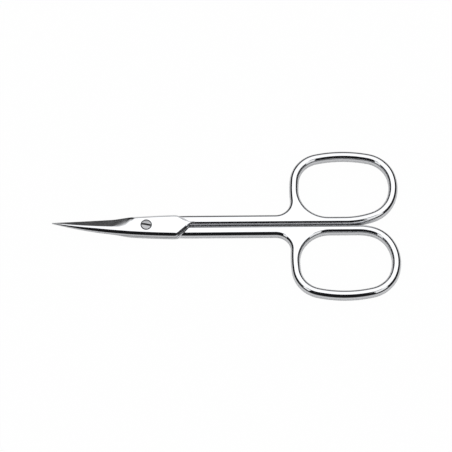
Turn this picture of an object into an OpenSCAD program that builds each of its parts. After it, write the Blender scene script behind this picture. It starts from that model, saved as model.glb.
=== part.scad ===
// Small curved cuticle scissors: two forged halves that turn on one slotted screw.
// The pivot axis is Z, the blades point to -X and curve up to +Z, the finger rings lie at +X.
// The closed pair rests on the plane z = 0. All sizes are in millimetres.

/* [Body] */
// Thickness of the closed pair at the joint, the shanks and the finger rings
body_t = 3.4; // [3:0.1:4.5]
// Gap between the ground faces of the two halves
face_gap = 0.05; // [0.03:0.01:0.1]
// Gap between the two closed shanks and rings, which is the closing stop
stop_gap = 0.04; // [0.02:0.01:0.2]

/* [Blades] */
// Distance from the pivot axis to the blade tips
blade_reach = 24.2; // [18:0.1:30]
// Distance from the pivot axis to the widest pull of the blade's side curve
belly_x = 9; // [7:0.1:11]
// Half width that the side curve is pulled to there
belly_half_w = 2.55; // [2.2:0.05:3]
// Half width of a blade at its blunted tip
tip_half_w = 0.1; // [0.08:0.01:0.3]
// Thickness of one blade at its tip
tip_t = 0.3; // [0.2:0.05:0.6]
// Distance from the pivot axis at which the blades start to curve up
curve_start = 3; // [2:0.1:6]
// Radius of the curve of the blades, seen from the side
curve_r = 80; // [50:0.5:150]
// Distance of the ridge of the cutting bevel from the middle line, on the back's side
ridge_y = 0.65; // [0:0.05:0.9]
// Thickness of the cutting edge
edge_t = 0.08; // [0.05:0.01:0.2]
// Distance from the pivot axis at which the cutting bevel starts to run out
heel_in_x = 9.2; // [7:0.1:11]
// Distance from the pivot axis at which the cutting bevel has run out
heel_out_x = 3.4; // [2.5:0.1:6]

/* [Joint plates] */
// Half width of a joint plate at its shoulders
plate_half_w = 2.97; // [2.6:0.05:3.4]
// Distance from the pivot axis to the end of the blade's side curve, on both sides
side_end_x = 6.9; // [6:0.1:7.2]
// Distance from the pivot axis to the shoulder on the ring's side, where the V-shaped end starts
shoulder_x = 8; // [8:0.1:9]
// Distance from the pivot axis to where the V's line from that shoulder meets the middle line
plate_reach = 12.5; // [11:0.1:14]
// Distance from the pivot axis to the free shoulder, on the other side
free_shoulder_x = 7.7; // [7.3:0.1:7.9]
// Distance from the pivot axis to where the V's line from the free shoulder meets the middle line
free_reach = 10.9; // [10:0.1:12]
// Width of the bevel along the plate and along the blade's back
bevel_w = 0.65; // [0.2:0.05:0.8]
// Height of the same bevel
bevel_h = 0.9; // [0.2:0.05:1]
// Gap between the V's free side and the step of the other half's shank, at the middle line
step_gap = 0.45; // [0.08:0.01:0.8]
// Slant of that step, as a length along the shank for each millimetre across it
step_slant = 0.85; // [0.5:0.05:1]
// Length of the bevel on that step's own edge, along the shank
step_bevel_x = 0.3; // [0.2:0.05:1.2]
// Height of the same bevel
step_bevel_h = 0.5; // [0.1:0.05:0.8]

/* [Shanks and finger rings] */
// Width of one shank
shank_w = 3; // [2.4:0.1:3.6]
// Width of a finger ring's wire
wire_w = 2.4; // [2.2:0.1:3.2]
// Width of the rounded corners of the shanks and the wire
round_r = 1.1; // [0.6:0.05:1.15]
// Height of the straight part of their sides, between the rounded corners
wall_h = 0.24; // [0.1:0.02:1]
// Distance from the pivot axis to the start of the finger rings' curves
ring_x = 51.1; // [42:0.1:60]
// Size of both finger rings, as a share of the usual adult size
ring_size = 1; // [0.85:0.01:1.2]
// Radius of the inner corner between a shank and its ring
root_inner_r = 7.7; // [6:0.1:9]
// Radius of the outer fillet between a shank and its ring
root_outer_r = 3.8; // [2:0.1:5]

/* [Pivot screw] */
// Radius of the screw's head
head_r = 1.25; // [1.2:0.05:1.8]
// Height of the head's rim
rim_h = 0.45; // [0.3:0.05:0.6]
// Height of the dome above the rim
dome_h = 0.16; // [0.1:0.02:0.4]
// Width of the screwdriver slot
slot_w = 0.54; // [0.3:0.02:0.7]
// Depth of the screwdriver slot below the top of the dome
slot_d = 0.5; // [0.2:0.02:0.6]
// Direction of the slot in the plan view, in degrees
slot_angle = -11; // [-90:1:90]
// Depth of the head's seat in the front plate
seat_d = 0.45; // [0.3:0.05:0.6]
// Radius of the plain shoulder that the front half turns on
shoulder_r = 1; // [0.7:0.05:1.1]
// Radius of the threaded end
thread_r = 0.85; // [0.6:0.05:1]
// Running clearance of the shoulder in the front plate, on the radius
run_gap = 0.04; // [0.02:0.01:0.1]
// Clearance under the head and around it
head_gap = 0.19; // [0.05:0.01:0.25]
// Clearance of the threaded end in the rear plate, on the radius
thread_gap = 0.01; // [0.01:0.01:0.05]

/* [Hidden] */
$fn = 96;

steel = [0.80, 0.81, 0.83];
screw_steel = [0.66, 0.67, 0.70];

// Height of the plane between the two halves at the joint
mid_z = body_t / 2;
// Thickness of one joint plate
plate_t = mid_z - face_gap / 2;
// How much faster a blade thins near its tip than near its heel
thin_power = 1.3;
// Distance from the pivot axis at which a blade starts to thin
thin_x = 6;

// Arcs of each finger ring's centre line, in order from the shank's side, turning away from the other ring.
// Each has its radius in millimetres at the usual size, and its turn in degrees.
// The first one also has the length of straight wire before it.
front_arcs = [
    [21.3, 20, 0],
    [8, 51.5],
    [10.3, 34.4],
    [7.9, 62.3],
    [32.9, 23.8],
    [7.1, 72.8],
    [28.9, 11.6]
];
rear_arcs = [
    [13.7, 15, 3.4],
    [7.8, 40.9],
    [10.2, 52.1],
    [7.7, 58.7],
    [31.3, 26.1],
    [7.2, 70.5],
    [31.1, 11.8]
];

// Numbers of steps along the blade, its heel and its plate
blade_steps = 18;
heel_steps = 4;
plate_steps = 7;
// Depth of the handles' faces below the plates' faces
flush_step = 0.08;
// Height of the rounded corners of the shanks and the wire
corner_h = mid_z - flush_step - wall_h / 2;
// Depth of the root's web below the faces of the shank and wire
root_in = 0.45;
// Depth that the root's round edges reach into the shank and wire
root_bite = 0.12;
// Steps of each rounded corner of a shank's or wire's section
corner_steps = 3;
// Largest turn between two sections of a finger ring, in degrees
arc_step = 9;

function clamp(v, low, high) = min(max(v, low), high);

// Height that the ground faces have risen to at a point of the plan, above the plane mid_z.
// It depends only on the distance from the pivot, so the faces slide on each other at every angle.
function rise(x, y) = x < 0 ? pow(max(norm([x, y]) - curve_start, 0), 2) / (2 * curve_r) : 0;

// Share of the side curve, from the tip to its end, at a place x
function side_share(x) =
    let (a = -blade_reach + 2 * belly_x + side_end_x)
    let (b = 2 * (blade_reach - belly_x))
    let (c = -blade_reach - x)
    -2 * c / (b + sqrt(b * b - 4 * a * c));

// Reach of the blade and plate to one side of the middle line at a place x: one smooth side curve, a
// straight side up to the shoulder, then one line of the V-shaped end
function half_w(x, corner_x, reach) =
    x > corner_x
    ? plate_half_w * (reach - x) / (reach - corner_x)
    : let (s = clamp(side_share(x), 0, 1))
      pow(1 - s, 2) * tip_half_w + 2 * s * (1 - s) * belly_half_w + s * s * plate_half_w;

// Place where the V-shaped end has narrowed to the tip's width
function point_x() =
    let (slope = plate_half_w / (plate_reach - shoulder_x))
    let (free_slope = plate_half_w / (free_reach - free_shoulder_x))
    (slope * plate_reach + free_slope * free_reach - 2 * tip_half_w) / (slope + free_slope);

// Thickness of one blade or plate at a place x
function thick(x) =
    plate_t - (plate_t - tip_t) * pow(clamp((-thin_x - x) / (blade_reach - thin_x), 0, 1), thin_power);

// Section of a blade or plate at a place x, as [y, height above the ground face].
// It runs from the cutting edge along the ground face, up the back, and over the bevel to the ridge.
function section(x) =
    let (w = half_w(x, shoulder_x, plate_reach), free_w = half_w(x, free_shoulder_x, free_reach))
    let (t = thick(x))
    let (bw = min(bevel_w, 0.2 * (w + free_w)), bh = min(bevel_h, 0.4 * t))
    let (to_heel = clamp((x + heel_in_x) / (heel_in_x - heel_out_x), 0, 1))
    let (ridge = -min(ridge_y, 0.25 * w))
    [
        [w, edge_t + (t - bh - edge_t) * to_heel],
        [w, 0],
        [(w - free_w) / 2, 0],
        [-free_w, 0],
        [-free_w, t - bh],
        [-free_w + bw, t],
        [ridge + (w - bw - ridge) * to_heel, t]
    ];

function steps(x0, x1, n) = [for (i = [0 : n - 1]) x0 + (x1 - x0) * i / n];

stations = concat(
    steps(-blade_reach, -heel_in_x, blade_steps),
    steps(-heel_in_x, -heel_out_x, heel_steps),
    steps(-heel_out_x, side_end_x, plate_steps),
    [side_end_x, free_shoulder_x, shoulder_x, point_x()]
);

// Faces of a tube of m rings of n points each, closed at both ends
function tube_faces(m, n) = concat(
    [
        for (i = [0 : m - 2], k = [0 : n - 1])
            let (a = i * n + k, b = i * n + (k + 1) % n)
            each [[a, b, a + n], [b, b + n, a + n]]
    ],
    [[for (k = [n - 1 : -1 : 0]) k], [for (k = [0 : n - 1]) (m - 1) * n + k]]
);

// Blade and joint plate of one half: side = 1 is the front half, and -1 the rear half turned over
module blade(side) {
    points = [
        for (x = stations, p = section(x))
            [x, side * p[0], mid_z + rise(x, p[0]) + side * (face_gap / 2 + p[1])]
    ];
    polyhedron(points, tube_faces(len(stations), len(section(0))), convexity = 4);
}

// Corners of a shank's or wire's rounded section, as [across, height], for a width
function rounded_section(width) = [
    for (corner = [0 : 3], k = [0 : corner_steps])
        let (turn = 90 * (corner + k / corner_steps))
        let (side = corner == 0 || corner == 3 ? 1 : -1, top = corner < 2 ? 1 : 0)
        [
            side * (width / 2 - round_r) + round_r * cos(turn),
            mid_z + (2 * top - 1) * wall_h / 2 + corner_h * sin(turn)
        ]
];

// Where an arc of this radius and turn ends, from a start [x, y, heading]
function arc_end(p, r, turn) =
    let (h = p[2] + turn)
    [p[0] + r * (sin(h) - sin(p[2])), p[1] + r * (cos(p[2]) - cos(h)), h];

// Where the ring's centre line is after its first n arcs, as [x, y, heading]
function ring_at(arcs, n) =
    n == 0
    ? [ring_x + arcs[0][2], wire_w / 2, 0]
    : arc_end(ring_at(arcs, n - 1), arcs[n - 1][0] * ring_size, arcs[n - 1][1]);

// Stations of the ring's centre line, as [x, y, heading]
function ring_stations(arcs) = [
    for (i = [0 : len(arcs) - 1])
        let (n = ceil(arcs[i][1] / arc_step))
        for (k = [1 : n])
            arc_end(ring_at(arcs, i), arcs[i][0] * ring_size, arcs[i][1] * k / n)
];

// Shank and ring in one sweep: straight at the shank's width, narrowing to the wire, then round the ring
module shank_and_ring(arcs) {
    path = concat(
        [
            [free_shoulder_x - bevel_w, shank_w / 2, 0],
            [ring_left(arcs) + wire_w, shank_w / 2, 0],
            ring_at(arcs, 0)
        ],
        ring_stations(arcs)
    );
    points = [
        for (i = [0 : len(path) - 1], q = rounded_section(i < 2 ? shank_w : wire_w))
            let (s = path[i])
            [s[0] + q[0] * sin(s[2]), s[1] - q[0] * cos(s[2]), q[1]]
    ];
    polyhedron(points, tube_faces(len(path), len(rounded_section(wire_w))), convexity = 6);
}

// Outer left side of a finger ring, where its root is
function ring_left(arcs) = ring_at(arcs, len(arcs))[0] - wire_w / 2;

// Web that fills the inner corner and the outer fillet between a shank and its ring
module root(arcs) {
    left = ring_left(arcs);
    inner = [left + wire_w + root_inner_r - root_bite, wire_w + root_inner_r - root_bite];
    outer = [left - root_outer_r + root_bite, shank_w + root_outer_r - root_bite];
    translate([0, 0, root_in])
        linear_extrude(body_t - 2 * root_in) {
            difference() {
                translate([left + root_in, wire_w / 3])
                    square([inner[0] - left - root_in, inner[1] - wire_w / 3]);
                translate(inner) circle(root_inner_r);
            }
            difference() {
                translate([outer[0], shank_w / 2])
                    square([root_outer_r + wire_w / 2, outer[1] - shank_w / 2]);
                translate(outer) circle(root_outer_r);
            }
        }
}

// Room that the other half's joint plate needs below this half's ground face, as [height, reach along X]
room_levels = [
    [mid_z + face_gap / 2 + flush_step, 0],
    [flush_step + step_bevel_h, 0],
    [flush_step, step_bevel_x],
    [-body_t, step_bevel_x]
];

module plate_room() {
    far = 2 * shank_w;
    points = [
        for (level = room_levels)
            let (end = free_reach + step_gap + level[1])
            each [
                [0, -far, level[0]],
                [end, -far, level[0]],
                [end, 0, level[0]],
                [end - far * step_slant, far, level[0]],
                [0, far, level[0]]
            ]
    ];
    polyhedron(points, tube_faces(len(room_levels), 5), convexity = 2);
}

// Shank and finger ring of one half, on the side y > 0, clear of the other half's side
module handle(arcs) {
    difference() {
        union() {
            shank_and_ring(arcs);
            root(arcs);
        }
        translate([0, stop_gap / 2 - body_t, -body_t]) cube([2 * ring_x, body_t, 3 * body_t]);
        plate_room();
    }
}

module front_half() {
    color(steel)
        difference() {
            union() {
                blade(1);
                handle(front_arcs);
            }
            cylinder(r = shoulder_r + run_gap, h = 2 * body_t);
            translate([0, 0, body_t - seat_d]) cylinder(r = head_r + head_gap, h = body_t);
        }
}

module rear_half() {
    color(steel)
        difference() {
            union() {
                blade(-1);
                translate([0, 0, body_t]) rotate([180, 0, 0]) handle(rear_arcs);
            }
            translate([0, 0, -body_t]) cylinder(r = thread_r + thread_gap, h = 2 * body_t);
        }
}

// Domed head with a slot, a plain shoulder and a threaded end that is flush with the rear half's back
module pivot_screw() {
    rim_z = body_t - seat_d + face_gap;
    dome_r = (head_r * head_r + dome_h * dome_h) / (2 * dome_h);
    color(screw_steel)
        difference() {
            union() {
                cylinder(r = thread_r, h = mid_z - face_gap / 2);
                translate([0, 0, mid_z - face_gap / 2])
                    cylinder(r = shoulder_r, h = rim_z - mid_z + face_gap / 2);
                translate([0, 0, rim_z]) cylinder(r = head_r, h = rim_h);
                translate([0, 0, rim_z + rim_h]) dome(dome_r);
            }
            translate([0, 0, rim_z + rim_h + dome_h - slot_d])
                rotate(slot_angle)
                    translate([-2 * head_r, -slot_w / 2, 0])
                        cube([4 * head_r, slot_w, body_t]);
        }
}

// Cap of a sphere, with its flat side at z = 0
module dome(dome_r) {
    rotate_extrude()
        intersection() {
            translate([0, dome_h - dome_r]) circle(dome_r);
            square([head_r, dome_h]);
        }
}

front_half();
rear_half();
pivot_screw();
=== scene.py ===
# %% [markdown]
# # Curved cuticle scissors in polished steel
# These are small forged scissors: two halves, each with a curved blade, a joint plate, a shank and a
# finger ring, and one slotted screw. The lesson builds each half as one closed, smooth mesh on the
# sizes of the CAD model, and then lights it the way polished metal is photographed.
# The CAD model comes in first as a fixed frame. Everything after it is placed by that frame.

import math

import bpy
import numpy as np
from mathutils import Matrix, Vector
from mathutils.geometry import delaunay_2d_cdt


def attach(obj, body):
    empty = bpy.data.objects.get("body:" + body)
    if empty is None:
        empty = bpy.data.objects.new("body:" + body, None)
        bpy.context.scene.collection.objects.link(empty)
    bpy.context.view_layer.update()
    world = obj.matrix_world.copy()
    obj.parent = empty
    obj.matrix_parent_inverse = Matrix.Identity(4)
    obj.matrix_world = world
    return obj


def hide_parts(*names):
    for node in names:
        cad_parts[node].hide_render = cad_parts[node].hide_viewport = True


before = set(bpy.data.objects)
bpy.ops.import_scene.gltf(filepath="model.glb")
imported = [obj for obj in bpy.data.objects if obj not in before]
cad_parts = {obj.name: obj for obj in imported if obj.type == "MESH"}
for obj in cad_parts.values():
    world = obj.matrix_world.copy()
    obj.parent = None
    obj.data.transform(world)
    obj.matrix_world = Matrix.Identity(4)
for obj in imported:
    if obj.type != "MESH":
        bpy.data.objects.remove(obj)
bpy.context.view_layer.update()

# %% [markdown]
# ## Camera
# A product photograph of a flat object is taken from high above with a long lens, so that near and far
# parts keep their proportions. Here the camera stands 65 degrees above the table, a little over a metre
# away, and is turned by less than half a degree round the object, as in the photograph.

# %% Camera
MM = 0.001
VIEW_ELEVATION = math.radians(65)
VIEW_TURN = math.radians(-0.45)
VIEW_WIDTH = 116.5 * MM
VIEW_DISTANCE = 1.2
VIEW_TARGET = Vector((20.54, 0.24, 1.7)) * MM
SENSOR = 36.0


def make_camera():
    data = bpy.data.cameras.new("camera")
    data.sensor_fit = "HORIZONTAL"
    data.sensor_width = SENSOR
    data.lens = SENSOR * VIEW_DISTANCE / VIEW_WIDTH
    data.clip_start = 0.05
    data.clip_end = 20
    camera = bpy.data.objects.new("camera", data)
    bpy.context.scene.collection.objects.link(camera)
    flat = math.cos(VIEW_ELEVATION)
    back = Vector((math.sin(VIEW_TURN) * flat, -math.cos(VIEW_TURN) * flat, math.sin(VIEW_ELEVATION)))
    camera.location = VIEW_TARGET + back * VIEW_DISTANCE
    camera.rotation_mode = "QUATERNION"
    camera.rotation_quaternion = (-back).to_track_quat("-Z", "Y")
    bpy.context.scene.camera = camera
    print("lens in mm", round(data.lens, 1))


make_camera()
bpy.context.scene.view_settings.view_transform = "Standard"

# %% [markdown]
# ## Background and floor
# The object lies on white paper. The world and the floor show white to the camera, and to the rays that
# leave a glossy or clear surface, so the steel mirrors the same white studio. All other rays meet a
# plain, paler light, so nothing is lit harder because the background is white. The floor keeps a share
# of its own shading, which is where the soft shadow under the scissors comes from.
# Seen from a flat angle in the steel, the paper is dark. That is where the table ends in a real studio,
# and it gives the lower edges of the shanks and rings their dark line.

# %% Node helpers


def add_node(tree, kind, inputs=None, **settings):
    """Adds a node, sets its properties, and fills its inputs with constants or links."""
    node = tree.nodes.new(kind)
    for name, value in settings.items():
        setattr(node, name, value)
    for name, value in (inputs or {}).items():
        if isinstance(value, bpy.types.NodeSocket):
            tree.links.new(value, node.inputs[name])
        else:
            node.inputs[name].default_value = value
    return node


def math_node(tree, operation, a, b=0.0):
    """One Math node, as its output socket."""
    return add_node(tree, "ShaderNodeMath", {0: a, 1: b}, operation=operation).outputs[0]


def new_material(name):
    """A material with an empty tree, and the tree."""
    material = bpy.data.materials.new(name)
    material.use_nodes = True
    material.node_tree.nodes.clear()
    return material, material.node_tree


# %% World
FILL_LIGHT = 0.62


def make_world():
    world = bpy.data.worlds.new("studio")
    bpy.context.scene.world = world
    world.use_nodes = True
    tree = world.node_tree
    tree.nodes.clear()
    path = tree.nodes.new("ShaderNodeLightPath").outputs
    shown = math_node(tree, "MAXIMUM", path["Is Camera Ray"], path["Is Glossy Ray"])
    shown = math_node(tree, "MAXIMUM", shown, path["Is Transmission Ray"])
    fill = add_node(tree, "ShaderNodeBackground", {"Color": (1, 1, 1, 1), "Strength": FILL_LIGHT})
    white = add_node(tree, "ShaderNodeBackground", {"Color": (1, 1, 1, 1), "Strength": 1.0})
    mix = add_node(tree, "ShaderNodeMixShader", {0: shown, 1: fill.outputs[0], 2: white.outputs[0]})
    add_node(tree, "ShaderNodeOutputWorld", {"Surface": mix.outputs[0]})


make_world()

# %% Floor
PAPER = (0.86, 0.86, 0.86, 1)
PAPER_WHITE_SEEN = 0.985
PAPER_WHITE_MIRRORED = 0.1
TABLE_END = (0.02, 0.02, 0.02, 1)
FLAT_ANGLE_DARK = math.radians(15)
FLAT_ANGLE_LIGHT = math.radians(22)
FLOOR_HALF = 3.0


def mesh_object(name, points, faces, materials=()):
    mesh = bpy.data.meshes.new(name)
    mesh.from_pydata([tuple(map(float, p)) for p in points], [], [tuple(map(int, f)) for f in faces])
    mesh.update()
    obj = bpy.data.objects.new(name, mesh)
    bpy.context.scene.collection.objects.link(obj)
    for material in materials:
        mesh.materials.append(material)
    return obj


def make_floor():
    material, tree = new_material("white_paper")
    path = tree.nodes.new("ShaderNodeLightPath").outputs
    seen = math_node(tree, "MULTIPLY", path["Is Camera Ray"], PAPER_WHITE_SEEN)
    mirrored = math_node(tree, "MAXIMUM", path["Is Glossy Ray"], path["Is Transmission Ray"])
    mirrored = math_node(tree, "MULTIPLY", mirrored, PAPER_WHITE_MIRRORED)
    share = math_node(tree, "MAXIMUM", seen, mirrored)
    paper = add_node(tree, "ShaderNodeBsdfDiffuse", {"Color": PAPER})
    white = add_node(tree, "ShaderNodeEmission", {"Color": (1, 1, 1, 1), "Strength": 1.0})
    mix = add_node(tree, "ShaderNodeMixShader", {0: share, 1: paper.outputs[0], 2: white.outputs[0]})
    facing = add_node(tree, "ShaderNodeLayerWeight", {"Blend": 0.5}).outputs["Facing"]
    flat = add_node(tree, "ShaderNodeMapRange", {
        "Value": facing,
        "From Min": 1 - math.sin(FLAT_ANGLE_LIGHT), "From Max": 1 - math.sin(FLAT_ANGLE_DARK),
    })
    flat = math_node(tree, "MULTIPLY", flat.outputs[0], path["Is Glossy Ray"])
    dark = add_node(tree, "ShaderNodeEmission", {"Color": TABLE_END, "Strength": 1.0})
    ends = add_node(tree, "ShaderNodeMixShader", {0: flat, 1: mix.outputs[0], 2: dark.outputs[0]})
    add_node(tree, "ShaderNodeOutputMaterial", {"Surface": ends.outputs[0]})
    corners = [(FLOOR_HALF * x, FLOOR_HALF * y, 0) for x, y in ((-1, -1), (1, -1), (1, 1), (-1, 1))]
    floor = mesh_object("floor", corners, [(0, 1, 2, 3)], [material])


make_floor()

# %% [markdown]
# ## Soft light and black flags
# Polished steel has almost no colour of its own. It looks like steel because it mirrors a bright panel
# with dark gaps round it. A photographer hangs one large soft panel over the table and stands black
# flags round the set, and the flags draw the crisp dark lines along every rounded edge.
# The panel is one area lamp. Each flag is a patch of a sphere that only mirror rays can see, so it
# darkens reflections and neither the paper nor the picture's background.
# Two gaps between the flags, left and right of the camera, let the white room shine into the rings'
# curves, as slits that end below and above. The flag on the far side is cloth in front of a bright wall:
# black near the table and lighter with height, so the far edges get a soft grey line and no hard one.

# %% Soft panel
PANEL_TILT = math.radians(27)
PANEL_DISTANCE = 1.0
PANEL_SIZE = 2.1
PANEL_POWER = 4.6
SET_MIDDLE_X = 0.02


def make_panel():
    data = bpy.data.lights.new("soft_panel", "AREA")
    data.shape = "SQUARE"
    data.size = PANEL_SIZE
    data.energy = PANEL_POWER
    lamp = bpy.data.objects.new("soft_panel", data)
    bpy.context.scene.collection.objects.link(lamp)
    towards = Vector((0, math.sin(PANEL_TILT), math.cos(PANEL_TILT)))
    lamp.location = Vector((SET_MIDDLE_X, 0, 0)) + towards * PANEL_DISTANCE
    lamp.rotation_mode = "QUATERNION"
    lamp.rotation_quaternion = towards.to_track_quat("Z", "Y")
    radiance = PANEL_POWER / (math.pi * PANEL_SIZE ** 2)
    print("panel's own brightness", round(radiance, 3))


make_panel()

# %% Black flags
FLAG_RADIUS = 0.7
FLAG_LIFT = 0.002
GRADE = (15, 48)
GRADE_POWER = 1.1
CLOTH_DARK = 0.012
FLAG_ROWS = 8


def flag_material():
    material, tree = new_material("black_flag")
    cloth = (CLOTH_DARK, CLOTH_DARK, CLOTH_DARK + 0.001, 1)
    black = add_node(tree, "ShaderNodeEmission", {"Color": cloth, "Strength": 1.0})
    add_node(tree, "ShaderNodeOutputMaterial", {"Surface": black.outputs[0]})
    return material


FLAG_BLACK = flag_material()


def graded_material():
    """Black up to a flat angle, then lighter and lighter with height, like cloth before a bright wall."""
    material, tree = new_material("graded_flag")
    place = tree.nodes.new("ShaderNodeTexCoord").outputs["Object"]
    height = add_node(tree, "ShaderNodeSeparateXYZ", {0: place}).outputs[2]
    share = add_node(tree, "ShaderNodeMapRange", {
        "Value": height, "From Min": FLAG_RADIUS * math.sin(math.radians(GRADE[0])),
        "From Max": FLAG_RADIUS * math.sin(math.radians(GRADE[1])), "To Min": CLOTH_DARK, "To Max": 1.0,
    })
    light = math_node(tree, "POWER", share.outputs[0], GRADE_POWER)
    glow = add_node(tree, "ShaderNodeEmission", {"Color": (1, 1, 1, 1), "Strength": light})
    add_node(tree, "ShaderNodeOutputMaterial", {"Surface": glow.outputs[0]})
    return material


def make_flag(name, azimuths, low, high, columns=24, material=FLAG_BLACK):
    """A patch of a sphere round the object, from azimuth to azimuth, with its two edges as elevations."""
    points = []
    for row in range(FLAG_ROWS + 1):
        for column in range(columns + 1):
            azimuth = math.radians(azimuths[0] + (azimuths[1] - azimuths[0]) * column / columns)
            top = high(math.degrees(azimuth)) if callable(high) else high
            elevation = math.radians(low + (top - low) * row / FLAG_ROWS)
            points.append((
                SET_MIDDLE_X + FLAG_RADIUS * math.cos(azimuth) * math.cos(elevation),
                FLAG_RADIUS * math.sin(azimuth) * math.cos(elevation),
                FLAG_RADIUS * math.sin(elevation) + FLAG_LIFT,
            ))
    across = columns + 1
    faces = [
        (r * across + c, r * across + c + 1, (r + 1) * across + c + 1, (r + 1) * across + c)
        for r in range(FLAG_ROWS) for c in range(columns)
    ]
    flag = mesh_object(name, points, faces, [material])
    flag.visible_camera = False
    flag.visible_diffuse = False
    flag.visible_transmission = False
    flag.visible_volume_scatter = False
    flag.visible_shadow = False


CAMERA_SIDE = -90
CAMERA_SIDE_TOP = 70
CAMERA_SIDE_FALL = 25
FALL_POWER = 1.5
LEFT_GAP = (CAMERA_SIDE - 57, CAMERA_SIDE - 38)
RIGHT_GAP = (CAMERA_SIDE + 27, CAMERA_SIDE + 58)
FAR_SIDE = (62, 118)
SIDE_TOP = 34
GAP_TOP = (52, 63)
GAP_FOOT = (0, 10)


def camera_side_top(azimuth):
    """The flag on the camera's side reaches highest straight behind the camera."""
    off = min(abs(azimuth - CAMERA_SIDE) / 90, 1)
    return CAMERA_SIDE_TOP - CAMERA_SIDE_FALL * off ** FALL_POWER


make_flag("flag_camera_side", (LEFT_GAP[1], RIGHT_GAP[0]), 0, camera_side_top, columns=32)
make_flag("flag_right", (RIGHT_GAP[1], FAR_SIDE[0]), 0, SIDE_TOP, columns=32)
make_flag("flag_left", (FAR_SIDE[1], 360 + LEFT_GAP[0]), 0, SIDE_TOP, columns=32)
make_flag("flag_far_side", FAR_SIDE, 0, GRADE[1], material=graded_material())
for number, azimuths in enumerate((LEFT_GAP, RIGHT_GAP)):
    make_flag("flag_gap_top_%d" % number, azimuths, *GAP_TOP)
    make_flag("flag_gap_foot_%d" % number, azimuths, *GAP_FOOT)

# %% [markdown]
# ## Finishes
# Most of the object is polished and plated, with hair-fine rub marks from use. The cutting bevels and the
# inner faces are ground, so fine lines run along them and their reflections are soft. The inner faces are
# also painted darker, as painted shade where the other half covers them. The sides of the shanks that
# face each other are ground too, but never polished, and are painted darker, as painted shade between the
# shanks and in the crease. The screw is turned steel, a little darker. Its slot, its seat and the step
# beside the V-shaped plate end are painted near black, as painted shade in these recesses.
# Each pattern is measured in the object's own millimetres.

# %% Steel finishes
CLOUD_SCALE = 260.0
ROUGH_FROM, ROUGH_TO = 0.3, 0.7
TINT_FROM, TINT_TO = 0.35, 0.65
BUMP_DEPTH = 0.00002


def noise_value(tree, inputs):
    """A Noise node, as its output socket, whose name depends on Blender's version."""
    outputs = add_node(tree, "ShaderNodeTexNoise", inputs).outputs
    return outputs["Factor"] if "Factor" in outputs else outputs["Fac"]


def brushed_lines(tree, place, turn, stretch, fine):
    """Noise drawn out into long fine lines in one direction."""
    mapped = add_node(tree, "ShaderNodeMapping", {
        "Vector": place, "Rotation": (0, 0, math.radians(turn)), "Scale": (fine / stretch, fine, fine),
    })
    return noise_value(tree, {
        "Vector": mapped.outputs[0], "Scale": 1.0, "Detail": 3.0, "Roughness": 0.6,
    })


def steel(name, colour, roughness, spread, marks, bump, wear):
    """Polished or ground steel. Each mark is a direction, a stretch and a number of lines in a metre."""
    material, tree = new_material(name)
    place = tree.nodes.new("ShaderNodeTexCoord").outputs["Object"]
    lines = None
    for turn, stretch, fine in marks:
        one = brushed_lines(tree, place, turn, stretch, fine)
        if lines is None:
            lines = one
        else:
            lines = math_node(tree, "MULTIPLY", math_node(tree, "ADD", lines, one), 0.5)
    cloud = noise_value(tree, {"Vector": place, "Scale": CLOUD_SCALE, "Detail": 2.0})
    both = math_node(tree, "MULTIPLY", math_node(tree, "ADD", lines, cloud), 0.5)
    rough = add_node(tree, "ShaderNodeMapRange", {
        "Value": both, "From Min": ROUGH_FROM, "From Max": ROUGH_TO,
        "To Min": roughness - spread, "To Max": roughness + spread,
    })
    ramp = add_node(tree, "ShaderNodeMapRange", {"Value": both, "From Min": TINT_FROM, "From Max": TINT_TO})
    dull = tuple(c * (1 - wear) for c in colour) + (1,)
    bright = tuple(colour) + (1,)
    tint = add_node(tree, "ShaderNodeMix", {0: ramp.outputs[0], 6: dull, 7: bright}, data_type="RGBA")
    raised = add_node(tree, "ShaderNodeBump", {"Height": lines, "Strength": bump, "Distance": BUMP_DEPTH})
    shader = add_node(tree, "ShaderNodeBsdfPrincipled", {
        "Base Color": tint.outputs[2], "Metallic": 1.0, "Roughness": rough.outputs[0],
        "Normal": raised.outputs[0],
    })
    add_node(tree, "ShaderNodeOutputMaterial", {"Surface": shader.outputs[0]})
    return material


POLISHED = steel("polished_plate", (0.80, 0.81, 0.83), 0.07, 0.03,
                 [(8, 12, 9000), (-35, 10, 7000)], 0.10, wear=0.03)
GROUND_BEVEL = steel("ground_cutting_bevel", (0.80, 0.81, 0.83), 0.30, 0.04,
                     [(0, 40, 9000)], 0.03, wear=0.1)
# The inner faces' darker colour is painted shade where the other half covers them; their roughness and
# lines are the grinding.
GROUND_FACE_PAINTED_SHADE = steel("ground_inner_face_painted_shade", (0.68, 0.69, 0.71), 0.26, 0.06,
                    [(90, 25, 14000)], 0.5, wear=0.12)
TURNED = steel("turned_screw_steel", (0.45, 0.455, 0.47), 0.28, 0.05,
               [(-11, 20, 14000)], 0.3, wear=0.1)
# Near black: painted shade for the screw's slot, the seat and the bevel on the V's free side.
PAINTED_SHADE_RECESS = steel("painted_shade_recess", (0.12, 0.12, 0.125), 0.4, 0.05,
               [(-11, 20, 14000)], 0.3, wear=0.1)
# The darker colour is painted shade between the two shanks and in the crease; roughness and lines are the
# grinding.
INNER_SIDE = steel("ground_inner_side_painted_shade", (0.56, 0.565, 0.58), 0.28, 0.05,
                   [(0, 30, 12000)], 0.2, wear=0.1)

# %% [markdown]
# ## Sizes
# All sizes are in millimetres, as on a workshop drawing, and the finished meshes are scaled to metres at
# the end. They repeat the CAD model's sizes, so each mesh lies where its CAD node lies.

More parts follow.
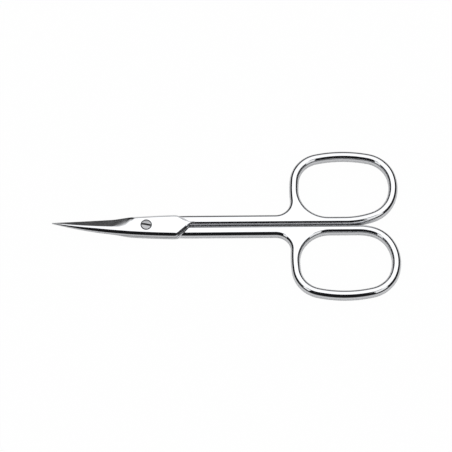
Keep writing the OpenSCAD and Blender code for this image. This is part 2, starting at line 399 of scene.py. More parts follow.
# %% Sizes of both halves
BODY_T = 3.4
FACE_GAP = 0.05
STOP_GAP = 0.04
MID_Z = BODY_T / 2
PLATE_T = MID_Z - FACE_GAP / 2
BLADE_REACH = 24.2
BELLY_X = 9.0
BELLY_HALF_W = 2.55
TIP_HALF_W = 0.1
TIP_T = 0.3
CURVE_START = 3.0
CURVE_R = 80.0
RIDGE_Y = 0.65
EDGE_T = 0.08
HEEL_IN_X = 9.2
HEEL_OUT_X = 3.4
PLATE_HALF_W = 2.97
SIDE_END_X = 6.9
SHOULDER_X = 8.0
PLATE_REACH = 12.5
FREE_SHOULDER_X = 7.7
FREE_REACH = 10.9
BEVEL_W = 0.65
FREE_BEVEL_W = 0.4
BEVEL_H = 0.9
STEP_GAP = 0.45
STEP_SLANT = 0.85
SHANK_W = 3.0
WIRE_W = 2.4
ROUND_R = 1.1
ROUND_H = 1.5
FRONT_RING_X = 51.15
REAR_RING_X = 54.5
ROOT_INNER_R = 7.7
ROOT_OUTER_R = 3.8
THIN_X = 6.0
THIN_POWER = 1.3
# Arcs of each ring's centre line, as a radius and a turn in degrees
FRONT_ARCS = [(21.3, 20), (8, 51.5), (10.3, 34.4), (7.9, 62.3), (32.9, 23.8), (7.1, 72.8), (28.9, 11.6)]
REAR_ARCS = [(13.7, 15), (7.8, 40.9), (10.2, 52.1), (7.7, 58.7), (31.3, 26.1), (7.2, 70.5), (31.1, 11.8)]
print("plate in mm", PLATE_T, "blade in mm", BLADE_REACH)

# %% [markdown]
# ## Blade and joint plate
# A forged blade is a wedge: flat and slightly hollow inside, ground to a thin edge on one side, with a
# flat back band and a rounded bevel on the other side. Its section changes smoothly from tip to joint,
# so it is lofted: one closed outline at each place along the blade, all with the same number of points.
# The corners of each outline are rounded a little, because polishing always softens them, and a soft
# corner is what catches a thin line of light.
# The cutting bevel runs out at the heel, where the grinding wheel was lifted off. First its ridge moves
# slowly to the edge and its corner softens, and near the end both happen faster.

# %% Section of the blade
HOLLOW = 0.05
HOLLOW_START = 5
HOLLOW_RUN = 4
HOLLOW_FULL_W = 1.5
HOLLOW_SHARE = 0.9
CORNER_POINTS = 6
SHOULDER_SHARPNESS = 9.0
EVEN_SHARE = 0.62
LIFT_OFF_X, LIFT_OFF_RUN = 5.6, 1.6
SOFT_START_X, SOFT_START_RUN = 8.6, 2.4
SOFT_END_X, SOFT_END_RUN = 4.8, 2.0
SOFT_RIDGE = 2.3
BEVEL_W_SHARE = 0.2
BEVEL_H_SHARE = 0.4
RIDGE_W_SHARE = 0.25
FREE_BEVEL_RUN = 1.5
CORNER_SHARE = 0.42
RIDGE_SHARE = 0.86
TIP_END = 0.12
# The tip's rounding, as a distance from its point and a share of the section there
TIP_ROUNDING = ((0.0, 0.35), (0.015, 0.62), (0.05, 0.87))


def smooth_share(v):
    v = np.clip(v, 0, 1)
    return v * v * (3 - 2 * v)


def rise(x, y):
    """Height that the curved blades have reached, by the distance from the pivot."""
    out = max(math.hypot(x, y) - CURVE_START, 0) ** 2 / (2 * CURVE_R)
    return out if x < 0 else 0.0


def side_width(x, corner_x=SHOULDER_X, reach=PLATE_REACH):
    """Reach to one side of the middle line: a smooth side curve and a line of the V, softly joined."""
    a = -BLADE_REACH + 2 * BELLY_X + SIDE_END_X
    b = 2 * (BLADE_REACH - BELLY_X)
    c = -BLADE_REACH - x
    s = min(-2 * c / (b + math.sqrt(b * b - 4 * a * c)), 1)
    side = (1 - s) ** 2 * TIP_HALF_W + 2 * s * (1 - s) * BELLY_HALF_W + s * s * PLATE_HALF_W
    end = PLATE_HALF_W * (reach - x) / (reach - corner_x)
    both = math.exp(-SHOULDER_SHARPNESS * side) + math.exp(-SHOULDER_SHARPNESS * end)
    both = -math.log(both) / SHOULDER_SHARPNESS
    return max(both, TIP_HALF_W) if x < 0 else both


V_SLOPE = (PLATE_REACH - SHOULDER_X) / PLATE_HALF_W
FREE_SLOPE = (FREE_REACH - FREE_SHOULDER_X) / PLATE_HALF_W
POINT_X = PLATE_REACH / V_SLOPE + FREE_REACH / FREE_SLOPE - 2 * TIP_HALF_W
POINT_X = POINT_X / (1 / V_SLOPE + 1 / FREE_SLOPE)


def thickness(x):
    share = min(max((-THIN_X - x) / (BLADE_REACH - THIN_X), 0), 1)
    return PLATE_T - (PLATE_T - TIP_T) * share ** THIN_POWER


def section_corners(x):
    """Corners of the section as [across, height over the ground face, reach of the corner's curve]."""
    w = side_width(x)
    free = side_width(x, FREE_SHOULDER_X, FREE_REACH)
    t = thickness(x)
    bw = min(BEVEL_W, BEVEL_W_SHARE * (w + free))
    narrowed = float(smooth_share((x - SIDE_END_X) / FREE_BEVEL_RUN))
    free_bw = bw + (min(FREE_BEVEL_W, bw) - bw) * narrowed
    bh = min(BEVEL_H, BEVEL_H_SHARE * t)
    raised = float(smooth_share((x + HEEL_IN_X) / (HEEL_IN_X - HEEL_OUT_X)))
    late = float(smooth_share((x + LIFT_OFF_X) / LIFT_OFF_RUN))
    moved = EVEN_SHARE * raised + (1 - EVEN_SHARE) * late
    soft_end = 1 - smooth_share((x + SOFT_END_X) / SOFT_END_RUN)
    softened = float(smooth_share((x + SOFT_START_X) / SOFT_START_RUN) * soft_end)
    ridge = -min(RIDGE_Y, RIDGE_W_SHARE * w)
    return [
        (w, EDGE_T + (t - bh - EDGE_T) * raised, 0.03 + 0.09 * raised),
        (w, 0.0, 0.02 + 0.13 * raised),
        (-free, 0.0, 0.05 + 0.10 * raised),
        (-free, t - bh, 0.10),
        (-free + free_bw, t, 0.07),
        (ridge + (w - bw - ridge) * moved, t, 0.11 + SOFT_RIDGE * softened),
    ]


def rounded_outline(corners, parts):
    """The closed outline with rounded corners, and each side between two corners cut in parts."""
    corner = [np.array(c[:2]) for c in corners]
    count = len(corner)
    blends = []
    for i in range(count):
        back = corner[i - 1] - corner[i]
        on = corner[(i + 1) % count] - corner[i]
        share_on = RIDGE_SHARE if i == count - 1 else CORNER_SHARE
        reach_back = min(corners[i][2], CORNER_SHARE * np.linalg.norm(back))
        reach_on = min(corners[i][2], share_on * np.linalg.norm(on))
        if i == 0:
            reach_back = min(reach_back, 0.1 * np.linalg.norm(back) + 0.02)
        start = corner[i] + back / np.linalg.norm(back) * reach_back
        end = corner[i] + on / np.linalg.norm(on) * reach_on
        shares = np.linspace(0, 1, CORNER_POINTS)
        blends.append([(1 - s) ** 2 * start + 2 * s * (1 - s) * corner[i] + s * s * end for s in shares])
    outline = []
    for i in range(count):
        outline += blends[i]
        start, end = blends[i][-1], blends[(i + 1) % count][0]
        outline += [start + (end - start) * k / parts[i] for k in range(1, parts[i])]
    return np.array(outline)


SIDE_PARTS = (1, 10, 2, 2, 3, 5)
print("points in one section", len(rounded_outline(section_corners(-12.0), SIDE_PARTS)))

# %% Loft helpers


def tube_faces(rings, count):
    """Quads between rings of points, and a cap at each end."""
    faces = []
    for i in range(rings - 1):
        for k in range(count):
            a, b = i * count + k, i * count + (k + 1) % count
            faces.append((a, b, b + count, a + count))
    faces.append(tuple(range(count - 1, -1, -1)))
    faces.append(tuple((rings - 1) * count + k for k in range(count)))
    return faces


def blade_stations():
    """Places along the blade, closer together where the shape turns quickly."""
    pieces = [
        np.linspace(-BLADE_REACH + TIP_END, -HEEL_IN_X, 66, endpoint=False),
        np.linspace(-HEEL_IN_X, -HEEL_OUT_X, 64, endpoint=False),
        np.linspace(-HEEL_OUT_X, FREE_SHOULDER_X - 1, 30, endpoint=False),
        np.linspace(FREE_SHOULDER_X - 1, SHOULDER_X + 1, 28, endpoint=False),
        np.linspace(SHOULDER_X + 1, POINT_X, 20),
    ]
    return np.concatenate(pieces)


def make_blade(name, side):
    """Blade and joint plate of one half, in millimetres: side 1 is the front half, -1 the rear one."""
    rows = [(-BLADE_REACH + back, share) for back, share in TIP_ROUNDING]
    rows += [(x, 1.0) for x in blade_stations()]
    points = []
    for x, share in rows:
        outline = rounded_outline(section_corners(x), SIDE_PARTS)
        middle = outline.mean(axis=0)
        outline = middle + (outline - middle) * share
        w = side_width(x)
        hollow = HOLLOW * float(smooth_share((-HOLLOW_START - x) / HOLLOW_RUN)) * min(w / HOLLOW_FULL_W, 1)
        for y, h in outline:
            if h < 1e-6 and abs(y) < HOLLOW_SHARE * w:
                h = hollow * (1 - (y / (HOLLOW_SHARE * w)) ** 2)
            points.append((x, side * y, MID_Z + rise(x, y) + side * (FACE_GAP / 2 + h)))
    count = len(outline)
    faces = tube_faces(len(rows), count)
    blade = mesh_object(name, points, faces)
    print(name, len(points), "points")
    return blade


# %% [markdown]
# ## Shank and finger ring
# Each half continues in a straight shank that opens into a finger ring, with a web where the wire meets
# the shank again. On the real object this is one forging with rounded edges, ground smooth all round.
# The plan outline is drawn first, from straight lines and arcs that meet without a kink. Copies of it
# are then set in from the edge, step by step. A Geometry Nodes tree lifts every point to the height that
# a rounded edge has at its distance from the outline. One rule shapes shank, web and ring alike, so no
# seam shows where they meet. Beside the plate the shank is a hair lower than the rings, as it was ground
# down to let the plate stand proud.

# %% Plan outline of the handle
ARC_STEP = 0.3
LINE_STEP = 0.5
SHANK_START = FREE_SHOULDER_X - BEVEL_W
SHANK_FULL_X = 10.9
SHANK_HIDDEN_W = 2.92
ARC_SLACK = 0.2


def ring_arcs(arcs, ring_x):
    """Each arc of the ring's centre line as centre x, centre y, radius, first and last heading."""
    x, y, heading = ring_x, WIRE_W / 2, 0.0
    rows = []
    for radius, turn in arcs:
        cx, cy = x - radius * math.sin(heading), y + radius * math.cos(heading)
        last = heading + math.radians(turn)
        rows.append((cx, cy, radius, heading, last))
        x, y, heading = cx + radius * math.sin(last), cy - radius * math.cos(last), last
    return rows


def root_contact(rows, reach, height):
    """The root's circle, tangent to a ring's arc and to a level line: its centre and the arc's place."""
    for index in range(len(rows) - 1, -1, -1):
        cx, cy, radius, first, last = rows[index]
        distance = abs(reach(radius))
        below = distance ** 2 - (height - cy) ** 2
        if below <= 0 or reach(radius) <= 0:
            continue
        x = cx - math.sqrt(below)
        heading = math.atan2(x - cx, cy - height) % (2 * math.pi)
        if first - 1e-6 <= heading <= last + ARC_SLACK:
            return x, height, index, heading
    raise ValueError("the root's circle meets no arc")


def along_arcs(rows, side, until, offset):
    """Points beside the centre line as [x, y, outward x, outward y], up to an arc and a heading on it."""
    chain = []
    for index, (cx, cy, radius, first, last) in enumerate(rows[: until[0] + 1]):
        end = until[1] if index == until[0] else last
        steps = max(int(math.ceil((end - first) * radius / ARC_STEP)), 1)
        for k in range(0 if index == 0 else 1, steps + 1):
            a = first + (end - first) * k / steps
            reach = radius + side * offset
            across, up = math.sin(a), -math.cos(a)
            chain.append((cx + reach * across, cy + reach * up, side * across, side * up))
    return chain


def fillet(cx, cy, radius, start, end):
    """Points of a root's fillet. Its outward side is towards its own centre."""
    steps = max(int(math.ceil(abs(end - start) * radius / ARC_STEP)), 2)
    chain = []
    for k in range(1, steps + 1):
        a = start + (end - start) * k / steps
        chain.append((cx + radius * math.cos(a), cy + radius * math.sin(a), -math.cos(a), -math.sin(a)))
    return chain


def straight(x0, x1, y0, y1, side):
    """Points of a level line, or of a soft S between two heights."""
    steps = max(int(math.ceil(abs(x1 - x0) / LINE_STEP)), 1)
    chain = []
    for k in range(1, steps + 1):
        share = k / steps
        slope = (y1 - y0) / (x1 - x0) * 6 * share * (1 - share)
        length = math.hypot(1, slope)
        y = y0 + (y1 - y0) * float(smooth_share(share))
        chain.append((x0 + (x1 - x0) * share, y, -side * slope / length, side / length))
    return chain


def handle_outline(arcs, ring_x):
    """The handle's outer side, open at the joint, and its finger hole, as chains of points."""
    rows = ring_arcs(arcs, ring_x)
    half = WIRE_W / 2
    bottom = STOP_GAP / 2
    fx, fy, index, heading = root_contact(rows, lambda r: r + half + ROOT_OUTER_R, SHANK_W + ROOT_OUTER_R)
    outer = [(SHANK_START, bottom, 0.0, -1.0)] + straight(SHANK_START, ring_x - 1, bottom, bottom, -1)
    ring = along_arcs(rows, 1, (index, heading), half)
    outer += [(x, max(y, bottom), u, v) for x, y, u, v in ring]
    start = math.atan2(math.cos(heading), -math.sin(heading))
    outer += fillet(fx, fy, ROOT_OUTER_R, start, -math.pi / 2)
    outer += straight(fx, SHANK_FULL_X, SHANK_W, SHANK_W, 1)
    outer += straight(SHANK_FULL_X, SHANK_START, SHANK_W, SHANK_HIDDEN_W, 1)
    fx, fy, index, heading = root_contact(rows, lambda r: r - half - ROOT_INNER_R, WIRE_W + ROOT_INNER_R)
    hole = along_arcs(rows, -1, (index, heading), half)
    start = math.atan2(-math.cos(heading), math.sin(heading))
    start += 2 * math.pi if start < 0 else 0
    hole += fillet(fx, fy, ROOT_INNER_R, start, 1.5 * math.pi)
    if fx < ring_x:
        hole += straight(fx, ring_x, WIRE_W, WIRE_W, 1)[:-1]
    return np.array(outer), np.array(hole)


for label, arcs, ring_x in (("front", FRONT_ARCS, FRONT_RING_X), ("rear", REAR_ARCS, REAR_RING_X)):
    outer, hole = handle_outline(arcs, ring_x)
    print(label, "outline", len(outer), "points, hole", len(hole), "points, box",
          outer[:, :2].min(axis=0).round(2), outer[:, :2].max(axis=0).round(2))

# %% Rounded height by Geometry Nodes
EDGE_STEPS = 10
FLUSH_STEP = 0.08
NECK_DROP = 0.06
NECK_END = 38.0


def rounded_edge_tree():
    """Lifts each point to the height of a rounded edge, by its distance from the outline."""
    tree = bpy.data.node_groups.new("rounded_edge", "GeometryNodeTree")
    sockets = tree.interface
    sockets.new_socket("Geometry", in_out="INPUT", socket_type="NodeSocketGeometry")
    for name, value in (
        ("Middle height", MID_Z),
        ("Half thickness", MID_Z - FLUSH_STEP),
        ("Edge radius", ROUND_R),
        ("Edge height", ROUND_H),
        ("Neck drop", NECK_DROP),
        ("Neck start", PLATE_REACH),
        ("Neck end", NECK_END),
    ):
        socket = sockets.new_socket(name, in_out="INPUT", socket_type="NodeSocketFloat")
        socket.default_value = value
    sockets.new_socket("Finish", in_out="INPUT", socket_type="NodeSocketMaterial")
    sockets.new_socket("Geometry", in_out="OUTPUT", socket_type="NodeSocketGeometry")
    given = tree.nodes.new("NodeGroupInput").outputs
    inset = add_node(tree, "GeometryNodeInputNamedAttribute", {"Name": "inset"}, data_type="FLOAT")
    side = add_node(tree, "GeometryNodeInputNamedAttribute", {"Name": "side"}, data_type="FLOAT")
    inset, side = inset.outputs["Attribute"], side.outputs["Attribute"]
    radius = given["Edge radius"]
    left = math_node(tree, "MAXIMUM", math_node(tree, "SUBTRACT", radius, inset), 0.0)
    share = math_node(tree, "DIVIDE", left, radius)
    square = math_node(tree, "SUBTRACT", 1.0, math_node(tree, "MULTIPLY", share, share))
    square = math_node(tree, "MAXIMUM", square, 0.0)
    lift = math_node(tree, "MULTIPLY", given["Edge height"], math_node(tree, "SQRT", square))
    foot = math_node(tree, "SUBTRACT", given["Half thickness"], given["Edge height"])
    height = math_node(tree, "ADD", foot, lift)
    place = add_node(tree, "GeometryNodeInputPosition")
    split = add_node(tree, "ShaderNodeSeparateXYZ", {0: place.outputs[0]})
    neck = add_node(tree, "ShaderNodeMapRange", {
        "Value": split.outputs[0], "From Min": given["Neck start"], "From Max": given["Neck end"],
        "To Min": given["Neck drop"], "To Max": 0.0,
    })
    height = math_node(tree, "SUBTRACT", height, neck.outputs[0])
    signed = math_node(tree, "MULTIPLY", height, side)
    level = math_node(tree, "ADD", given["Middle height"], signed)
    joined = add_node(tree, "ShaderNodeCombineXYZ", {0: split.outputs[0], 1: split.outputs[1], 2: level})
    moved = add_node(tree, "GeometryNodeSetPosition",
                     {"Geometry": given["Geometry"], "Position": joined.outputs[0]})
    real = add_node(tree, "GeometryNodeRealizeInstances", {0: moved.outputs[0]})
    dressed = add_node(tree, "GeometryNodeSetMaterial",
                       {"Geometry": real.outputs[0], "Material": given["Finish"]})
    add_node(tree, "NodeGroupOutput", {0: dressed.outputs[0]})
    return tree


def apply_tree(obj, tree, values):
    """Runs a Geometry Nodes tree on an object with these named inputs, and keeps the plain result."""
    modifier = obj.modifiers.new("tree", "NODES")
    modifier.node_group = tree
    for item in tree.interface.items_tree:
        if item.item_type == "SOCKET" and item.in_out == "INPUT" and item.name in values:
            modifier[item.identifier] = values[item.name]
    return keep_result(obj)


def keep_result(obj):
    """Replaces an object's mesh by what its modifiers make of it, and removes them."""
    evaluated = obj.evaluated_get(bpy.context.evaluated_depsgraph_get())
    made = bpy.data.meshes.new_from_object(evaluated)
    obj.modifiers.clear()
    old, obj.data = obj.data, made
    bpy.data.meshes.remove(old)
    return obj


def vectors(items, name):
    """One vector of every point or face of a mesh, as rows of three numbers."""
    values = np.empty(3 * len(items), np.float32)
    items.foreach_get(name, values)
    return values.reshape(-1, 3)


ROUNDED_EDGE = rounded_edge_tree()

# %% Flat handle with its rows of points


def flat_handle(name, arcs, ring_x):
    """The handle's plan as a closed flat mesh: rows of points set in from the outline, on both sides."""
    outer, hole = handle_outline(arcs, ring_x)
    turns = np.linspace(0, math.pi / 2, EDGE_STEPS + 1)
    insets = ROUND_R * (1 - np.cos(turns))
    points, inset, side, faces = [], [], [], []

    def rows_of(chain, sign):
        """Adds the rows of one chain on one side, and returns the index of each row's first point."""
        firsts = []
        for depth in insets:
            firsts.append(len(points))
            for x, y, u, v in chain:
                points.append((x - u * depth, y - v * depth, 0.0))
                inset.append(depth)
                side.append(sign)
        return firsts

    def strips(firsts, count, closed, flip):
        for a, b in zip(firsts[:-1], firsts[1:]):
            for k in range(count if closed else count - 1):
                on = (k + 1) % count
                quad = (a + k, a + on, b + on, b + k)
                faces.append(quad[::-1] if flip else quad)

    sheets = {}
    for sign in (1, -1):
        flip = sign < 0
        outer_rows = rows_of(outer, sign)
        hole_rows = rows_of(hole, sign)
        strips(outer_rows, len(outer), False, flip)
        strips(hole_rows, len(hole), True, not flip)
        sheets[sign] = (outer_rows, hole_rows)
        loops = [
            [outer_rows[-1] + k for k in range(len(outer))],
            [hole_rows[-1] + k for k in range(len(hole))],
        ]
        faces.extend(plateau(points, loops, flip))
    top, bottom = sheets[1], sheets[-1]
    strips([bottom[0][0], top[0][0]], len(outer), False, False)
    strips([bottom[1][0], top[1][0]], len(hole), True, True)
    last = len(outer) - 1
    cap = [row + last for row in top[0][::-1]] + [row + last for row in bottom[0]]
    cap += [row for row in bottom[0][::-1]] + [row for row in top[0]]
    faces.append(tuple(cap))
    handle = mesh_object(name, points, faces)
    for label, values in (("inset", inset), ("side", side)):
        attribute = handle.data.attributes.new(label, "FLOAT", "POINT")
        attribute.data.foreach_set("value", np.array(values, np.float32))
    return handle


def plateau(points, loops, flip):
    """Triangles that fill the flat area between the innermost rows."""
    index = loops[0] + loops[1]
    flat = [Vector(points[i][:2]) for i in index]
    edges = []
    start = 0
    for loop in loops:
        count = len(loop)
        edges += [(start + k, start + (k + 1) % count) for k in range(count)]
        start += count
    found = delaunay_2d_cdt(flat, edges, [], 1, 1e-6, True)
    places, triangles, origins = found[0], found[2], found[3]
    rim = np.array([flat[k] for k in range(len(loops[0]))])
    hole = np.array([flat[k] for k in range(len(loops[0]), len(flat))])
    kept = []
    for triangle in triangles:
        cx = sum(places[i][0] for i in triangle) / 3
        cy = sum(places[i][1] for i in triangle) / 3
        if inside(hole, cx, cy) or not inside(rim, cx, cy):
            continue
        corner = tuple(index[origins[i][0]] for i in triangle)
        kept.append(corner[::-1] if flip else corner)
    return kept


def inside(loop, x, y):
    """True if the point lies in the closed loop."""
    a, b = loop, np.roll(loop, -1, axis=0)
    crosses = (a[:, 1] > y) != (b[:, 1] > y)
    rise_y = np.where(crosses, b[:, 1] - a[:, 1], 1.0)
    at = a[:, 0] + (y - a[:, 1]) / rise_y * (b[:, 0] - a[:, 0])
    return int(np.sum(crosses & (at > x))) % 2 == 1


def make_handle(name, arcs, ring_x, side):
    """Shank and finger ring of one half, in millimetres. The rear one is turned over."""
    values = {"Edge radius": ROUND_R, "Finish": POLISHED}
    handle = apply_tree(flat_handle(name, arcs, ring_x), ROUNDED_EDGE, values)
    if side < 0:
        place = vectors(handle.data.vertices, "co")
        place[:, 1] *= -1
        place[:, 2] = BODY_T - place[:, 2]
        handle.data.vertices.foreach_set("co", place.ravel())
        handle.data.update()
    print(name, len(handle.data.vertices), "points", len(handle.data.polygons), "faces")
    return handle


# %% [markdown]
# ## Joining blade and handle
# The two meshes are joined by an exact boolean, and the room for the other half's plate and the holes
# for the screw are cut the same way, as a mill and a drill would. The result is one closed mesh.
# Two cuts only show close up. The step at the end of the room has a rounded edge, and a crease runs in the
# shank along the plate's V-shaped end, where the two shapes were filed into each other.
# The mesh's normals are weighted by face size, so that flat faces mirror like flat faces, and only the
# small rounded corners between them turn the light.

# %% Cutters


def prism(name, outline, low, high):
    """A closed prism over a plan outline that runs counterclockwise."""
    count = len(outline)
    points = [(x, y, low) for x, y in outline] + [(x, y, high) for x, y in outline]
    faces = [tuple(range(count - 1, -1, -1)), tuple(range(count, 2 * count))]
    for k in range(count):
        on = (k + 1) % count
        faces.append((k, on, count + on, count + k))
    return mesh_object(name, points, faces)


def lathe(name, profile, count=96):
    """A closed turned shape from [radius, height] points that start and end on the axis."""
    rings = profile[1:-1]
    points = [(0, 0, profile[0][1])]
    for radius, height in rings:
        for k in range(count):
            a = 2 * math.pi * k / count
            points.append((radius * math.cos(a), radius * math.sin(a), height))
    points.append((0, 0, profile[-1][1]))
    faces = []
    for k in range(count):
        on = (k + 1) % count
        faces.append((0, 1 + on, 1 + k))
        for i in range(len(rings) - 1):
            a, b = 1 + i * count, 1 + (i + 1) * count
            faces.append((a + k, a + on, b + on, b + k))
        top = 1 + (len(rings) - 1) * count
        faces.append((top + k, top + on, len(points) - 1))
    return mesh_object(name, points, faces)


# Section of the crease, as a distance from the plate's top edge and a height over the middle plane
CREASE_SECTION = [(-0.3, 1.25), (0.05, 1.30), (0.75, 1.64), (0.75, 2.0), (-0.3, 2.0)]
CREASE_OVERSHOOT = 0.6
CREASE_RUN = 5
# Rounded edge of the step, as a height against the pair's outer plane and a distance back from the wall
STEP_EDGE = [(-0.58, 0.0), (-0.50, 0.07), (-0.40, 0.17), (-0.28, 0.29), (-0.14, 0.42), (-0.07, 0.48)]


def plate_room(name, side):
    """Room in one half's handle for the other half's joint plate. The step's own edge is rounded."""
    far = 2 * SHANK_W
    levels = [(PLATE_T + FACE_GAP - FLUSH_STEP - MID_Z, 0.0)]
    levels += [(MID_Z + height, out) for height, out in STEP_EDGE] + [(BODY_T, STEP_EDGE[-1][1])]
    points, faces = [], []
    for height, out in levels:
        end = FREE_REACH + STEP_GAP + out
        for x, y in ((0, -far), (end, -far), (end, 0), (end - far * STEP_SLANT, far), (0, far)):
            points.append((x, side * y, MID_Z - side * height))
    faces = tube_faces(len(levels), 5)
    return mesh_object(name, points, [face[::-1] for face in faces])


def crease(name, side):
    """A shallow slope that lets the handle's face down to the plate's V-shaped end, on its own side."""
    across = np.array([1, V_SLOPE]) / math.hypot(1, V_SLOPE)
    start = np.array([PLATE_REACH + CREASE_OVERSHOOT, -CREASE_OVERSHOOT / V_SLOPE])
    start = start - np.array([BEVEL_W * V_SLOPE, 0])
    end = start + np.array([-V_SLOPE, 1]) * CREASE_RUN
    points = []
    for place in (start, end):
        for out, height in CREASE_SECTION:
            x, y = place + across * out
            points.append((x, side * y, MID_Z + side * height))
    faces = tube_faces(2, len(CREASE_SECTION))
    return mesh_object(name, points, [face[::-1] for face in faces])


def boolean(obj, operation, other):
    """One exact boolean, kept at once. The other object is removed."""
    modifier = obj.modifiers.new("cut", "BOOLEAN")
    modifier.operation = operation
    modifier.solver = "EXACT"
    modifier.object = other
    keep_result(obj)
    mesh = other.data
    bpy.data.objects.remove(other)
    bpy.data.meshes.remove(mesh)


# %% Finished half
SCREW_HEAD_R = 1.25
HEAD_GAP = 0.19
SEAT_D = 0.45
SHOULDER_R = 1.0
RUN_GAP = 0.04
THREAD_R = 0.85
THREAD_GAP = 0.01
SEAT_BREAK = 0.03
BORE_BREAK = 0.05
OUTSIDE = 1.0
SHARP_ANGLE = math.radians(32)


def open_edges(mesh):
    """Number of edges that don't have exactly two faces."""
    loops = np.empty(len(mesh.loops), np.int32)
    mesh.loops.foreach_get("edge_index", loops)
    return int(np.sum(np.bincount(loops, minlength=len(mesh.edges)) != 2))


def make_half(name, arcs, ring_x, side):
    half = make_handle(name, arcs, ring_x, side)
    boolean(half, "DIFFERENCE", plate_room("room", side))
    boolean(half, "DIFFERENCE", crease("crease", side))
    boolean(half, "UNION", make_blade(name + "_blade", side))
    top = BODY_T + OUTSIDE
    if side > 0:
        bore = SHOULDER_R + RUN_GAP
        profile = [(0, -OUTSIDE), (bore, -OUTSIDE), (bore, top), (0, top)]
        boolean(half, "DIFFERENCE", lathe("bore", profile))
        seat, floor_z = SCREW_HEAD_R + HEAD_GAP, BODY_T - SEAT_D
        profile = [(0, floor_z), (seat, floor_z), (seat, BODY_T - SEAT_BREAK)]
        profile += [(seat + SEAT_BREAK + OUTSIDE, top), (0, top)]
        boolean(half, "DIFFERENCE", lathe("seat", profile))
    else:
        bore = THREAD_R + THREAD_GAP
        profile = [(0, -OUTSIDE), (bore + BORE_BREAK + OUTSIDE, -OUTSIDE)]
        profile += [(bore, BORE_BREAK), (bore, top), (0, top)]
        boolean(half, "DIFFERENCE", lathe("bore", profile))
    return half


def finish_mesh(obj):
    """Marks sharp edges, weights the normals by face size, and scales millimetres to metres."""
    mesh = obj.data
    mesh.shade_smooth()
    mesh.set_sharp_from_angle(angle=SHARP_ANGLE)
    modifier = obj.modifiers.new("normals", "WEIGHTED_NORMAL")
    modifier.keep_sharp = True
    modifier.weight = 50
    mesh.vertices.foreach_set("co", vectors(mesh.vertices, "co").ravel() * MM)
    mesh.update()
    keep_result(obj)
    print(obj.name, len(obj.data.polygons), "faces,", open_edges(obj.data), "open edges")


front_half = make_half("front_blade_and_ring", FRONT_ARCS, FRONT_RING_X, 1)
rear_half = make_half("rear_blade_and_ring", REAR_ARCS, REAR_RING_X, -1)

# %% [markdown]
# ## Pivot screw
# The screw has a domed head with one slot, a plain shoulder that the front half turns on, and a thread
# that is filed flush with the back of the rear half. It is turned on a lathe, so it is lathed here too,
# and the slot is cut last, as a slitting saw does it.

# %% Screw
RIM_H = 0.45
DOME_H = 0.16
SLOT_W = 0.54
SLOT_D = 0.5
SLOT_ANGLE = -11.0
SLOT_REACH = 3
THREAD_START = 0.1
THREAD_END = 0.15
THREAD_PITCH = 0.25
THREAD_DEPTH = 0.06
HEAD_BREAK = 0.05
RIM_BREAK = 0.012
DOME_STEPS = 12
# Rounded end of the screw, as a distance in from the thread's radius and a height
SCREW_END = ((0.08, 0.0), (0.01, 0.04))


def screw_profile():
    rim_z = BODY_T - SEAT_D + FACE_GAP
    dome_r = (SCREW_HEAD_R ** 2 + DOME_H ** 2) / (2 * DOME_H)
    top = rim_z + RIM_H
    profile = [(0, 0.0)] + [(THREAD_R - inward, height) for inward, height in SCREW_END]
    z = THREAD_START
    while z < PLATE_T - THREAD_END:
        profile += [(THREAD_R, z), (THREAD_R - THREAD_DEPTH, z + THREAD_PITCH / 2)]
        z += THREAD_PITCH
    profile += [(THREAD_R, z), (THREAD_R, PLATE_T), (SHOULDER_R, PLATE_T), (SHOULDER_R, rim_z)]
    profile += [(SCREW_HEAD_R - HEAD_BREAK, rim_z), (SCREW_HEAD_R, rim_z + HEAD_BREAK)]
    profile += [(SCREW_HEAD_R, top - 2 * HEAD_BREAK), (SCREW_HEAD_R - RIM_BREAK, top - HEAD_BREAK)]
    for k in range(DOME_STEPS):
        radius = (SCREW_HEAD_R - HEAD_BREAK) * (1 - k / DOME_STEPS)
        profile.append((radius, top + DOME_H - dome_r + math.sqrt(dome_r ** 2 - radius ** 2)))
    profile.append((0, top + DOME_H))
    return profile, top + DOME_H


def make_screw():
    profile, top = screw_profile()
    screw = lathe("screw", profile)
    turn = math.radians(SLOT_ANGLE)
    along = (math.cos(turn), math.sin(turn))
    corners = []
    for u, v in ((-1, -1), (1, -1), (1, 1), (-1, 1)):
        u, v = u * SLOT_REACH, v * SLOT_W / 2
        corners.append((u * along[0] - v * along[1], u * along[1] + v * along[0]))
    boolean(screw, "DIFFERENCE", prism("slot", corners, top - SLOT_D, top + OUTSIDE))
    return screw


screw = make_screw()

# %% [markdown]
# ## Which face has which finish or painted shade
# The finish of a face follows from where it is and which way it looks, as at the grinder's wheel: the
# inner faces look at the other half, and the cutting bevel is the slope above the edge.
# The seat and the bevel on the V's free side are painted near black, as painted shade. The inner faces,
# the crease and the sides of the two shanks that face each other are ground, and painted darker as
# painted shade.

# %% Finish by face
HALF_FINISHES_AND_SHADES = (POLISHED, GROUND_BEVEL, GROUND_FACE_PAINTED_SHADE, PAINTED_SHADE_RECESS, INNER_SIDE)
NEAR = 0.01
HAIR = 0.001
BAND_MARGIN = 0.15
FREE_V_START = 0.3
CREASE_DEPTH = 0.5
INNER_SIDE_W = 0.42
HOLLOW_DEPTH = 0.12
CUTTING_BEVEL_END = 4.6
# How far a face looks along an axis, from -1 to 1
OBLIQUE = (-0.1, 0.9)
TOWARDS_V = -0.15
TOWARDS_OTHER_SHANK = -0.5
TOWARDS_OTHER_HALF = -0.85
BEVEL_SIDEWAYS, BEVEL_OUT = 0.3, 0.2
UPWARD = 0.9999


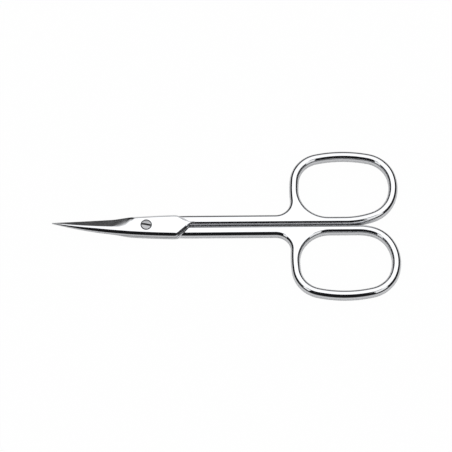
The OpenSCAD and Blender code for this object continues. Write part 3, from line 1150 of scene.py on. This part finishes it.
def finish_or_painted_shade_of(centre, normal, side):
    """The finish, or the painted shade, of one face of a half, by the place of its middle and the way it
    looks.
    """
    x, y, z = centre
    width = side * y
    height = side * (z - MID_Z - rise(x, y)) - FACE_GAP / 2
    sideways = side * normal[1]
    out = side * normal[2]
    from_v = (normal[0] + V_SLOPE * sideways) / math.hypot(1, V_SLOPE)
    seat_r = SCREW_HEAD_R + HEAD_GAP
    # Painted shade: the screw's seat is painted near black.
    if math.hypot(x, y) < seat_r + NEAR and BODY_T - SEAT_D - NEAR < z < BODY_T - NEAR:
        return PAINTED_SHADE_RECESS
    # Painted shade: the bevel on the V's free side is painted near black.
    on_free_v = abs(x - FREE_REACH - FREE_SLOPE * width) < FREE_SLOPE * BEVEL_W + BAND_MARGIN
    on_free_v = on_free_v and x > FREE_SHOULDER_X + FREE_V_START and width < -FREE_V_START
    if on_free_v and height > 0 and OBLIQUE[0] < out < OBLIQUE[1]:
        return PAINTED_SHADE_RECESS
    # Painted shade: the crease and the shank sides that face each other are painted darker.
    in_crease = SHOULDER_X - 1 < x < PLATE_REACH and width > FREE_V_START
    if in_crease and height > PLATE_T - CREASE_DEPTH and from_v < TOWARDS_V:
        return INNER_SIDE
    beside_shank = SHOULDER_X + 1 < x < REAR_RING_X + 1 and 0 < width < INNER_SIDE_W
    if beside_shank and sideways < TOWARDS_OTHER_SHANK:
        return INNER_SIDE
    # Painted shade: the inner faces under the other half are painted darker.
    if abs(height) < HOLLOW_DEPTH and out < TOWARDS_OTHER_HALF and x < PLATE_REACH + 1:
        return GROUND_FACE_PAINTED_SHADE
    on_bevel = x < -CUTTING_BEVEL_END and width > -RIDGE_Y and height > 0
    if on_bevel and sideways > BEVEL_SIDEWAYS and out > BEVEL_OUT:
        return GROUND_BEVEL
    return POLISHED


def give_finishes_and_shades(obj, side):
    mesh = obj.data
    mesh.materials.clear()
    for material in HALF_FINISHES_AND_SHADES:
        mesh.materials.append(material)
    places = zip(vectors(mesh.polygons, "center"), vectors(mesh.polygons, "normal"))
    slots = [HALF_FINISHES_AND_SHADES.index(finish_or_painted_shade_of(centre, normal, side)) for centre, normal in places]
    mesh.polygons.foreach_set("material_index", slots)
    print(obj.name, "faces by finish", np.bincount(slots, minlength=len(HALF_FINISHES_AND_SHADES)).tolist())


def give_screw_finish_and_slot_shade(obj):
    """The slot's floor and sides are as the saw left them, and are painted near black, as painted shade in
    the slot.
    """
    mesh = obj.data
    mesh.materials.clear()
    mesh.materials.append(TURNED)
    mesh.materials.append(PAINTED_SHADE_RECESS)
    turn = math.radians(SLOT_ANGLE)
    for face in mesh.polygons:
        x, y, z = face.center
        across = abs(y * math.cos(turn) - x * math.sin(turn))
        upright_or_level = abs(face.normal.z) < NEAR or face.normal.z > UPWARD
        in_slot = across < SLOT_W / 2 + HAIR and z > BODY_T - SEAT_D
        inside_rim = math.hypot(x, y) < SCREW_HEAD_R - HAIR
        # Painted shade: the slot's floor and sides are painted near black.
        face.material_index = 1 if in_slot and inside_rim and upright_or_level else 0


give_finishes_and_shades(front_half, 1)
give_finishes_and_shades(rear_half, -1)
give_screw_finish_and_slot_shade(screw)
for piece in (front_half, rear_half, screw):
    finish_mesh(piece)

# %% [markdown]
# ## Moving bodies
# The front half turns on the screw, and the screw stays in the rear half. Each piece rides on its body
# and stands for its CAD node, which is hidden.

# %% Bodies and nodes
for piece, body, node, slot in (
    (front_half, "front", "front_half", "polished_steel"),
    (rear_half, "rear", "rear_half", "polished_steel"),
    (screw, "rear", "pivot_screw", "screw_steel"),
):
    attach(piece, body)
    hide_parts(node)
    print(piece.name, "rides on", body)
